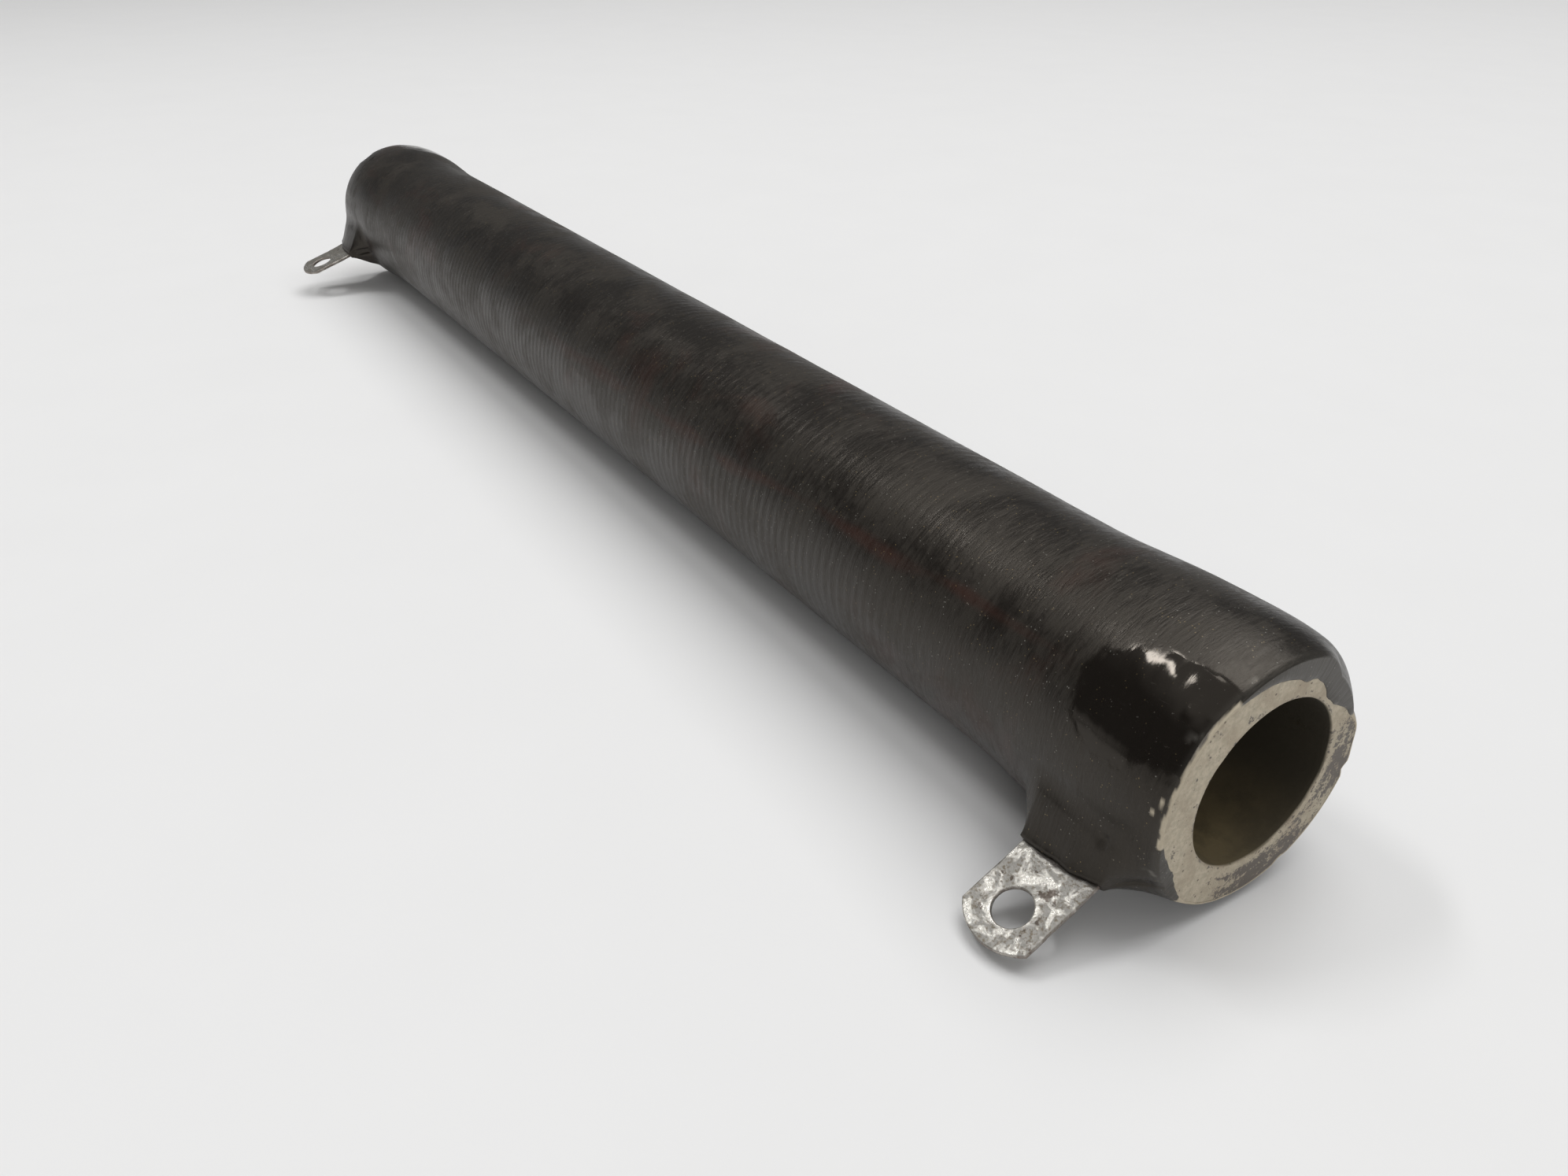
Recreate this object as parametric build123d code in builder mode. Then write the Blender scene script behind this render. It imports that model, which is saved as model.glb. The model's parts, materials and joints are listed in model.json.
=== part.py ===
from build123d import *
import math
import os

# Vitreous-enamelled tubular wirewound power resistor, 10-1/2 in. by 1-1/8 in. nominal.
# The tube's axis is X and the origin is its middle.  The two solder lugs point
# towards -Y and down, and the resistor lies on its two swollen ends.  Millimetres.

# ---- driving dimensions ------------------------------------------------------
core_length = 266.7          # 10-1/2 in.
core_radius = 13.6
bore_radius = 9.525          # 3/4 in. through hole
core_edge_chamfer = 0.4

seat_gap = 0.05              # radial room between one wrapped layer and the next
layer_thickness = 0.45       # the winding ribbon and the band's sheet, one height
ribbon_width = 0.8
ribbon_pitch = 1.65
ribbon_stretches = 9         # the winding's helix is drawn in this many equal stretches
ribbon_to_band = 1.6         # axial room from the last turn's middle to the band beside it

lug_inset = 9.0              # lug and band centre, from the core's end face
band_width = 9.5
band_split = 1.5             # gap between the strap's two ends, under the lug's foot

lug_width = 9.5              # 3/8 in.
lug_sheet = 0.6
lug_length = 16.7            # from the core's surface to the lug's tip
lug_tip_radius = 6.5
lug_hole_radius = 2.2
lug_hole_to_tip = 4.7
lug_foot_angle = 30.0        # how far the foot wraps round the band
right_lug_droop = 28.0       # below horizontal
left_lug_droop = 20.0

braze_angle = 9.0            # how far the braze runs on from the ribbon's end

enamel_cover = 0.35          # over the winding: 1-1/8 in. nominal diameter
enamel_setback = 0.5         # bare ceramic left at each end
enamel_end_cover = 0.5       # over the core at the enamel's ends
enamel_bulge_rise = 0.7      # over the terminal bands, above the plain body
enamel_bulge_inset = 11.0
enamel_bulge_length = 30.0   # where the swelling has died away, from the end

web_climb = 5.7              # how far the enamel climbs the lug, from the core's surface
web_cover = 0.55             # enamel thickness on the lug at the top of the web
web_flare_along = 3.1        # extra half width at the body, along the tube
web_flare_across = 3.4       # extra half width at the body, round the tube
web_sections = 5

# ---- derived places ----------------------------------------------------------
half_length = core_length / 2
layer_inner = core_radius + seat_gap
layer_outer = layer_inner + layer_thickness
enamel_inner = layer_outer + seat_gap
ribbon_track = layer_inner + layer_thickness / 2
band_centre = half_length - lug_inset
band_inner_edge = band_centre - band_width / 2
winding_half = band_inner_edge - ribbon_to_band
turns_per_stretch = round(2 * winding_half / ribbon_pitch / ribbon_stretches)
winding_pitch = 2 * winding_half / (turns_per_stretch * ribbon_stretches)
lug_reach = core_radius + lug_length
lug_hole_reach = lug_reach - lug_hole_to_tip
enamel_radius = enamel_inner + enamel_cover
enamel_end_radius = layer_inner + enamel_end_cover
enamel_bulge_radius = enamel_radius + enamel_bulge_rise
web_top = core_radius + web_climb

os.makedirs("parts", exist_ok=True)


def finish(part, name):
    """Labels one finished piece and writes its STEP file."""
    part.label = name
    export_step(part, f"parts/{name}.step")
    print(name, len(part.solids()), round(part.volume, 2))


def radial(side, droop):
    """Plane across the tube at one lug: local X runs out along the lug, Z is +X."""
    angle = math.radians(180 + droop)
    return Plane(
        origin=(side * band_centre, 0, 0),
        x_dir=(0, math.cos(angle), math.sin(angle)),
        z_dir=(1, 0, 0),
    )


def lug_face(side, droop, reach=0.0):
    """Plane of the lug's flat sheet: local X runs along the tube, Y out along the lug."""
    across = radial(side, droop)
    return Plane(
        origin=across.origin + across.x_dir * reach,
        x_dir=(1, 0, 0),
        z_dir=Vector(1, 0, 0).cross(across.x_dir),
    )


def lug_section(across, clearance):
    """Edge-on outline of foot and leg, in the plane across the tube."""
    inner = enamel_inner - clearance
    outer = enamel_inner + lug_sheet + clearance
    spread = math.radians(lug_foot_angle) + clearance / outer
    with BuildSketch(across) as section:
        with BuildLine():
            RadiusArc((inner, 0), (inner * math.cos(spread), -inner * math.sin(spread)), inner)
            Line(
                (inner * math.cos(spread), -inner * math.sin(spread)),
                (outer * math.cos(spread), -outer * math.sin(spread)),
            )
            RadiusArc((outer * math.cos(spread), -outer * math.sin(spread)), (outer, 0), -outer)
            Line((outer, 0), (inner, 0))
        make_face()
        with Locations(((inner + lug_reach + clearance) / 2, 0)):
            Rectangle(lug_reach + clearance - inner, lug_sheet + 2 * clearance)
    return section.sketch


def web_half_size(height, half_top, flare):
    """Half size of the enamel web at one height, from 0 at its root to 1 at its top."""
    return half_top + flare * (1 - height) ** 2.5


# ---- ceramic core ------------------------------------------------------------
with BuildPart() as ceramic_core:
    with BuildSketch(Plane.YZ.offset(-half_length)):
        Circle(core_radius)
        Circle(bore_radius, mode=Mode.SUBTRACT)
    extrude(amount=core_length)
    end_edges = ceramic_core.edges().filter_by(GeomType.CIRCLE)
    chamfer(end_edges, core_edge_chamfer)
finish(ceramic_core.part, "ceramic_core")

# ---- resistance winding: one flat ribbon from band to band ------ -------------
stretch = winding_pitch * turns_per_stretch
with BuildPart() as resistance_winding:
    with BuildLine() as ribbon_path:
        for k in range(ribbon_stretches):
            Helix(
                pitch=winding_pitch,
                height=stretch,
                radius=ribbon_track,
                center=(-winding_half + k * stretch, 0, 0),
                direction=(1, 0, 0),
            )
    ribbon_start = ribbon_path.line @ 0
    with BuildSketch(Plane(
        origin=ribbon_start,
        x_dir=(0, ribbon_start.Y, ribbon_start.Z),
        z_dir=ribbon_path.line % 0,
    )):
        Rectangle(layer_thickness, ribbon_width)
    sweep(is_frenet=True, clean=False)
finish(resistance_winding.part, "resistance_winding")

# ---- at each end: strap band, solder lug and the winding's braze -------------------
ribbon_ends = {
    -1: (ribbon_path.line @ 0, -(ribbon_path.line % 0)),
    1: (ribbon_path.line @ 1, ribbon_path.line % 1),
}
for side, end_name, droop in ((-1, "left", left_lug_droop), (1, "right", right_lug_droop)):
    across = radial(side, droop)

    with BuildPart() as terminal_band:
        with BuildSketch(across.offset(-band_width / 2)):
            Circle(layer_outer)
            Circle(layer_inner, mode=Mode.SUBTRACT)
            with Locations((core_radius, -core_radius * math.sin(math.radians(lug_foot_angle / 2)))):
                Rectangle(2 * layer_thickness + core_radius / 2, band_split, mode=Mode.SUBTRACT)
        extrude(amount=band_width)
    finish(terminal_band.part, f"{end_name}_terminal_band")

    with BuildPart() as solder_lug:
        add(lug_section(across, 0))
        extrude(amount=lug_width / 2, dir=(1, 0, 0), both=True)
        with BuildSketch(lug_face(side, droop)):
            with Locations((0, lug_reach - lug_tip_radius)):
                Circle(lug_tip_radius)
            with Locations((0, (lug_reach - lug_tip_radius) / 2)):
                Rectangle(lug_width, lug_reach - lug_tip_radius)
        extrude(amount=core_radius, both=True, mode=Mode.INTERSECT)
        with BuildSketch(lug_face(side, droop, lug_hole_reach)):
            Circle(lug_hole_radius)
        extrude(amount=lug_sheet, both=True, mode=Mode.SUBTRACT)
    finish(solder_lug.part, f"{end_name}_solder_lug")

    end_point, end_way = ribbon_ends[side]
    start_angle = math.degrees(math.atan2(end_point.Z, end_point.Y))
    turn_way = math.copysign(1, end_point.Y * end_way.Z - end_point.Z * end_way.Y)
    bead_near = side * (winding_half - ribbon_width / 2)
    bead_far = side * band_inner_edge
    bead_plane = Plane(
        origin=((bead_near + bead_far) / 2, 0, 0),
        x_dir=(0, math.cos(math.radians(start_angle)), math.sin(math.radians(start_angle))),
        z_dir=(1, 0, 0),
    )
    slack = math.degrees(seat_gap / ribbon_track)
    with BuildPart() as wire_braze:
        with BuildSketch(bead_plane):
            with BuildLine():
                first = math.radians(turn_way * slack)
                last = math.radians(turn_way * (slack + braze_angle))
                middle = (first + last) / 2
                rim = [
                    [(r * math.cos(a), r * math.sin(a)) for a in (first, middle, last)]
                    for r in (layer_inner, layer_outer)
                ]
                ThreePointArc(*rim[0])
                Line(rim[0][2], rim[1][2])
                ThreePointArc(*reversed(rim[1]))
                Line(rim[1][0], rim[0][0])
            make_face()
        extrude(amount=abs(bead_far - bead_near) / 2, both=True)
    finish(wire_braze.part, f"{end_name}_wire_braze")

# ---- enamel coat -----------------------------------------------------------------
enamel_end = half_length - enamel_setback
bulge_x = half_length - enamel_bulge_inset
body_x = half_length - enamel_bulge_length
with BuildPart() as enamel_coat:
    with BuildSketch(Plane.XY):
        with BuildLine():
            Line((-body_x, enamel_radius), (body_x, enamel_radius))
            for side in (-1, 1):
                Spline(
                    (side * body_x, enamel_radius),
                    (side * bulge_x, enamel_bulge_radius),
                    (side * enamel_end, enamel_end_radius),
                    tangents=((side, 0), (side * 0.7, -0.7)),
                )
                Line((side * enamel_end, enamel_end_radius), (side * enamel_end, layer_inner))
            Line((-enamel_end, layer_inner), (enamel_end, layer_inner))
        make_face()
    revolve(axis=Axis.X)
    for side, droop in ((-1, left_lug_droop), (1, right_lug_droop)):
        out = radial(side, droop).x_dir
        web_root = core_radius
        for k in range(web_sections):
            height = k / (web_sections - 1)
            reach = web_root + (web_top - web_root) * height
            half_along = web_half_size(height, lug_width / 2 + web_cover, web_flare_along)
            half_across = web_half_size(height, lug_sheet / 2 + web_cover, web_flare_across)
            with BuildSketch(Plane(
                origin=Vector(side * band_centre, 0, 0) + out * reach, x_dir=(1, 0, 0), z_dir=out
            )):
                RectangleRounded(2 * half_along, 2 * half_across, 0.95 * half_across)
        loft()
    with BuildSketch(Plane.XY):
        with BuildLine():
            Polyline(
                (-enamel_end, 0),
                (-enamel_end, layer_inner),
                (-band_centre - band_width / 2, layer_inner),
                (-band_centre - band_width / 2, enamel_inner),
                (band_centre + band_width / 2, enamel_inner),
                (band_centre + band_width / 2, layer_inner),
                (enamel_end, layer_inner),
                (enamel_end, 0),
                close=True,
            )
        make_face()
    revolve(axis=Axis.X, mode=Mode.SUBTRACT)
    for side, droop in ((-1, left_lug_droop), (1, right_lug_droop)):
        add(lug_section(radial(side, droop), seat_gap))
        extrude(amount=lug_width / 2 + seat_gap, dir=(1, 0, 0), both=True, mode=Mode.SUBTRACT)
finish(enamel_coat.part, "enamel_coat")
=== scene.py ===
"""Looks of a vitreous-enamelled tubular wirewound power resistor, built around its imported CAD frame."""

import json
import math

import bpy
import numpy as np
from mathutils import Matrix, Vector


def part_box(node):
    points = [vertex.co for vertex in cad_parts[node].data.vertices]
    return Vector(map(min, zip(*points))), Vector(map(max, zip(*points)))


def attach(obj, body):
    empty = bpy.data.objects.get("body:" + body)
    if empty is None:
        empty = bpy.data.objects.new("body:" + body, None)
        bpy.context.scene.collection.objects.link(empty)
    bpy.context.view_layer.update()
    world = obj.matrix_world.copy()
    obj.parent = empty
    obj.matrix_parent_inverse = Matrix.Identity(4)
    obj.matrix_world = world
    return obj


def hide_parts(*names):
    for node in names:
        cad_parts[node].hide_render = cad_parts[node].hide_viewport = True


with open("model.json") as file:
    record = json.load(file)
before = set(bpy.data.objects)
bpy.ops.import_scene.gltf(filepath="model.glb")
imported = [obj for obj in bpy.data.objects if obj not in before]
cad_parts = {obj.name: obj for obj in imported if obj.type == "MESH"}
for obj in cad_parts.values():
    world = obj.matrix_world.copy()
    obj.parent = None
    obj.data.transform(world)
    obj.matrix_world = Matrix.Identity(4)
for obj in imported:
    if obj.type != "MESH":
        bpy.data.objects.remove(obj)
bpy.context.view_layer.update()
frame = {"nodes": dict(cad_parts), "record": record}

bl_info = {
    "name": "Enamelled Tube Resistor",
    "version": (1, 0, 0),
    "blender": (4, 5, 0),
    "location": "View3D > Sidebar > Resistor",
    "description": "Builds the visible pieces of an enamelled tubular wirewound resistor",
    "category": "Object",
}

MM = 0.001
WEB_MIDDLE = 17 * MM  # distance from the axis at which a web's spread round the tube is measured
WEB_FILM_EDGE = 0.30 * MM  # enamel over a lug's side edges
WEB_FILM_FACE = 0.62 * MM  # half the lug sheet and the enamel on its face
WEB_BLEND = 0.9 * MM  # softness of the corner between web and tube
END_INSET = 0.06 * MM  # from the end face back to the last ring of the enamel's outside
LIP_INSET = 0.12 * MM  # from the rim in to where the end film starts
END_FILM = 0.10 * MM  # thickness of the enamel that ran on to the end face
HIDDEN_WALL_INSET = 0.9 * MM  # from the ceramic's outside in to the enamel skin's unseen inner wall
HIDDEN_WALL_START = 1.2 * MM  # from the end face back to that wall
SHEET_ROUNDING = 0.16 * MM  # soft edge of a punched lug

# ---- places read from the frame ----------------------------------------------
CORE_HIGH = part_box("ceramic_core")[1]
HALF_LENGTH = CORE_HIGH.x
CORE_RADIUS = CORE_HIGH.z
ENAMEL_LOW, ENAMEL_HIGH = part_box("enamel_coat")
BULGE_RADIUS = ENAMEL_HIGH.z
MOUNTS = {m["name"]: m for m in frame["record"]["mounts"]}
BORE_RADIUS = MOUNTS["core_bore"]["dims"]["r_mm"] * MM
ENDS = {"left": -1, "right": 1}


def lug_facts(end_name):
    """Where one lug lies: its way out from the axis, its normal, hole, middle along X and reach."""
    hole = Vector(MOUNTS[f"{end_name}_lug_hole"]["pos_m"])
    out = Vector((0, hole.y, hole.z)).normalized()
    node = frame["nodes"][f"{end_name}_solder_lug"]
    low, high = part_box(f"{end_name}_solder_lug")
    return {
        "side": ENDS[end_name],
        "out": out,
        "up": Vector(MOUNTS[f"{end_name}_lug_hole"]["axis"]).normalized(),
        "angle": math.atan2(out.z, out.y) % (2 * math.pi),
        "hole_reach": Vector((0, hole.y, hole.z)).length,
        "hole_radius": MOUNTS[f"{end_name}_lug_hole"]["dims"]["r_mm"] * MM,
        "thickness": MOUNTS[f"{end_name}_lug_hole"]["dims"]["length_mm"] * MM,
        "middle": (low.x + high.x) / 2,
        "width": high.x - low.x,
        "reach": max(v.co.dot(out) for v in node.data.vertices),
    }


LUGS = {name: lug_facts(name) for name in ENDS}


# ---- settings a user would change ----------------------------------------------
class EnamelSettings(bpy.types.PropertyGroup):
    """Shape and colour of the fired enamel"""

    body_radius: bpy.props.FloatProperty(
        name="Body radius",
        description="Outside of the enamel over the winding",
        default=14.5 * MM, subtype="DISTANCE", unit="LENGTH",
    )
    bulge_length: bpy.props.FloatProperty(
        name="Swelling length",
        description="From the tube's end to where the swelling has died away",
        default=30 * MM, subtype="DISTANCE", unit="LENGTH",
    )
    bulge_inset: bpy.props.FloatProperty(
        name="Swelling inset",
        description="From the tube's end to the thickest place",
        default=11 * MM, subtype="DISTANCE", unit="LENGTH",
    )
    rim_radius: bpy.props.FloatProperty(
        name="Rim radius",
        description="Outside of the enamel at the tube's end face",
        default=14.25 * MM, subtype="DISTANCE", unit="LENGTH",
    )
    rib_pitch: bpy.props.FloatProperty(
        name="Rib pitch",
        description="Distance between winding ribs along the tube",
        default=1.65 * MM, subtype="DISTANCE", unit="LENGTH",
    )
    rib_height: bpy.props.FloatProperty(
        name="Rib height",
        description="How far the winding ribs stand out of the enamel",
        default=0.045 * MM, subtype="DISTANCE", unit="LENGTH",
    )
    web_height: bpy.props.FloatProperty(
        name="Web height",
        description="How far from the axis the enamel climbs each lug",
        default=19.4 * MM, subtype="DISTANCE", unit="LENGTH",
    )
    web_along: bpy.props.FloatProperty(
        name="Web spread along",
        description="How far the web's foot spreads beyond the lug's edges, along the tube",
        default=6 * MM, subtype="DISTANCE", unit="LENGTH",
    )
    web_across: bpy.props.FloatProperty(
        name="Web spread around",
        description="How far the web's foot spreads from the lug's faces, round the tube",
        default=9 * MM, subtype="DISTANCE", unit="LENGTH",
    )
    dark: bpy.props.FloatVectorProperty(
        name="Dark enamel", description="Deepest enamel colour",
        default=(0.0042, 0.0031, 0.0024), subtype="COLOR", size=3,
    )
    cloudy: bpy.props.FloatVectorProperty(
        name="Cloudy enamel", description="Dusty, dulled enamel colour",
        default=(0.0175, 0.0150, 0.0122), subtype="COLOR", size=3,
    )
    # Red-brown of thin enamel, also used for the painted reflection line where the floor's horizon shows in
    # the enamel.
    thin_enamel_and_horizon_line: bpy.props.FloatVectorProperty(
        name="Thin enamel", description="Red-brown tint where the enamel is thin",
        default=(0.026, 0.0085, 0.0055), subtype="COLOR", size=3,
    )


class CeramicSettings(bpy.types.PropertyGroup):
    """Colours of the bare ceramic tube"""

    cream: bpy.props.FloatVectorProperty(
        name="Bare ceramic", description="Colour of the clean fired body",
        default=(0.50, 0.44, 0.335), subtype="COLOR", size=3,
    )
    soil: bpy.props.FloatVectorProperty(
        name="Soil", description="Dirt rubbed into the ceramic",
        default=(0.085, 0.070, 0.060), subtype="COLOR", size=3,
    )
    # The lit colour of the bore wall; the material darkens it to painted shade deep in the bore and on its
    # upper side.
    bore: bpy.props.FloatVectorProperty(
        name="Bore", description="Browned wall of the bore",
        default=(0.19, 0.145, 0.070), subtype="COLOR", size=3,
    )


class LugSettings(bpy.types.PropertyGroup):
    """Shape and colour of the solder lugs"""

    tip_radius: bpy.props.FloatProperty(
        name="Tip radius", description="Radius of the lug's blunt end",
        default=6.5 * MM, subtype="DISTANCE", unit="LENGTH",
    )
    solder_lumps: bpy.props.FloatProperty(
        name="Solder lumps", description="Unevenness of the solder coat",
        default=0.05 * MM, subtype="DISTANCE", unit="LENGTH",
    )
    solder: bpy.props.FloatVectorProperty(
        name="Solder", description="Colour of the dipped solder",
        default=(0.47, 0.455, 0.42), subtype="COLOR", size=3,
    )
    flux: bpy.props.FloatVectorProperty(
        name="Flux stain", description="Brown of the flux and of the dulled solder",
        default=(0.22, 0.18, 0.125), subtype="COLOR", size=3,
    )


class StageSettings(bpy.types.PropertyGroup):
    """Camera, floor and light"""

    lens: bpy.props.FloatProperty(
        name="Lens", description="Focal length on a 36 mm sensor", default=28.46, unit="CAMERA",
    )
    azimuth: bpy.props.FloatProperty(
        name="Azimuth", description="Way to the camera, turned from +X",
        default=math.radians(-32.35), subtype="ANGLE",
    )
    elevation: bpy.props.FloatProperty(
        name="Elevation", description="Height of the camera over the tube",
        default=math.radians(30.92), subtype="ANGLE",
    )
    distance: bpy.props.FloatProperty(
        name="Distance", description="From the point looked at to the camera",
        default=151.5 * MM, subtype="DISTANCE", unit="LENGTH",
    )
    target: bpy.props.FloatVectorProperty(
        name="Target", description="The point looked at",
        default=(77.3 * MM, -19.5 * MM, 0), subtype="XYZ", size=3,
    )
    floor: bpy.props.FloatVectorProperty(
        name="Floor", description="Colour of the pale floor",
        default=(0.80, 0.80, 0.80), subtype="COLOR", size=3,
    )


# ---- helpers: noise, meshes, node trees --------------------------------------------
LATTICE = 48
noise_tables = {}


def lumps(points, size, seed, octaves=1):
    """Smooth noise from -1 to 1 at each row of points, with features about that size."""
    total = np.zeros(len(points))
    weight_sum = 0.0
    for octave in range(octaves):
        key = seed * 10 + octave
        if key not in noise_tables:
            noise_tables[key] = np.random.RandomState(key).uniform(-1, 1, (LATTICE,) * 3)
        table = noise_tables[key]
        scaled = np.asarray(points, float) * (2 ** octave) / size + 1000.0
        cell = np.floor(scaled).astype(int)
        part = scaled - cell
        part = part * part * (3 - 2 * part)
        value = np.zeros(len(scaled))
        for corner in np.ndindex(2, 2, 2):
            weight = np.ones(len(scaled))
            for axis in range(3):
                weight *= part[:, axis] if corner[axis] else 1 - part[:, axis]
            index = (cell + np.array(corner)) % LATTICE
            value += weight * table[index[:, 0], index[:, 1], index[:, 2]]
        total += value * 0.5 ** octave
        weight_sum += 0.5 ** octave
    return total / weight_sum


def ease(value):
    """Smooth step of a value clipped to 0..1."""
    value = np.clip(value, 0, 1)
    return value * value * (3 - 2 * value)


def turn_between(angle, centre):
    """Signed angle from centre to angle, in degrees, from -180 to 180."""
    return (angle - centre + 180) % 360 - 180


def hump(angle, centre, half_width):
    """1 at centre, falling smoothly to 0 at half_width away; all in degrees."""
    return ease(1 - np.abs(turn_between(angle, centre)) / half_width)


def away_from(depth, degrees, spot_depth, spot_angle, radius):
    """Distance over the tube's surface to a spot so many millimetres from the end, at an angle."""
    return np.hypot(depth - spot_depth * MM, turn_between(degrees, spot_angle) * math.pi / 180 * radius)


def mesh_object(name, vertices, faces, smooth=True):
    """A mesh object linked into the scene."""
    mesh = bpy.data.meshes.new(name)
    mesh.from_pydata([tuple(v) for v in vertices], [], [tuple(f) for f in faces])
    mesh.validate()
    mesh.update()
    if smooth:
        mesh.polygons.foreach_set("use_smooth", [True] * len(mesh.polygons))
    piece = bpy.data.objects.new(name, mesh)
    bpy.context.scene.collection.objects.link(piece)
    return piece


def loft_faces(rows, columns, closed_rows):
    """Quads of a grid whose columns close round the tube, and whose rows may close too."""
    faces = []
    for i in range(rows if closed_rows else rows - 1):
        below = i * columns
        above = ((i + 1) % rows) * columns
        for j in range(columns):
            k = (j + 1) % columns
            faces.append((below + j, below + k, above + k, above + j))
    return faces


def paint(piece, name, values):
    """Stores one number per vertex for the material to read."""
    layer = piece.data.attributes.new(name, "FLOAT", "POINT")
    layer.data.foreach_set("value", np.asarray(values, np.float32))


class Nodes:
    """Short way to write a node tree."""

    def __init__(self, material):
        material.use_nodes = True
        self.tree = material.node_tree
        self.tree.nodes.clear()

    def add(self, kind, settings=None, **inputs):
        node = self.tree.nodes.new(kind)
        for key, value in (settings or {}).items():
            setattr(node, key, value)
        for key, value in inputs.items():
            self.put(node.inputs[key.replace("_", " ")], value)
        return node

    def put(self, socket, value):
        if isinstance(value, bpy.types.NodeSocket):
            self.tree.links.new(value, socket)
        else:
            socket.default_value = value

    def attribute(self, name):
        return self.add("ShaderNodeAttribute", {"attribute_name": name}).outputs["Fac"]

    def noise(self, vector, scale, detail=4.0, roughness=0.55, distortion=0.0):
        node = self.add(
            "ShaderNodeTexNoise", Vector=vector, Scale=scale, Detail=detail, Roughness=roughness
        )
        node.inputs["Distortion"].default_value = distortion
        return node.outputs["Fac"]

    def ramp(self, factor, low, high, low_value=0.0, high_value=1.0):
        node = self.add("ShaderNodeMapRange", {"interpolation_type": "SMOOTHSTEP"}, Value=factor)
        ends = {"From Min": low, "From Max": high, "To Min": low_value, "To Max": high_value}
        for key, value in ends.items():
            node.inputs[key].default_value = value
        return node.outputs["Result"]

    def math(self, operation, a, b):
        node = self.add("ShaderNodeMath", {"operation": operation})
        self.put(node.inputs[0], a)
        self.put(node.inputs[1], b)
        return node.outputs[0]

    def mix(self, factor, a, b):
        node = self.add("ShaderNodeMix", {"data_type": "RGBA"})
        self.put(node.inputs[0], factor)
        self.put(node.inputs[6], a)
        self.put(node.inputs[7], b)
        return node.outputs[2]

    def stretch(self, vector, scale):
        node = self.add("ShaderNodeMapping", Vector=vector)
        node.inputs["Scale"].default_value = scale
        return node.outputs["Vector"]

    def bump(self, height, distance, strength=1.0, normal=None):
        node = self.add("ShaderNodeBump", Height=height)
        node.inputs["Distance"].default_value = distance
        node.inputs["Strength"].default_value = strength
        if normal is not None:
            self.put(node.inputs["Normal"], normal)
        return node.outputs["Normal"]

    def surface(self, **inputs):
        shader = self.add("ShaderNodeBsdfPrincipled", **inputs)
        output = self.add("ShaderNodeOutputMaterial")
        self.tree.links.new(shader.outputs["BSDF"], output.inputs["Surface"])
        return shader


def rgba(colour):
    """An opaque colour for a socket."""
    return (*colour, 1.0)


def shade_of(colour, share):
    """The colour made darker or lighter, as an opaque colour for a socket."""
    return rgba([min(1.0, c * share) for c in colour])


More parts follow.
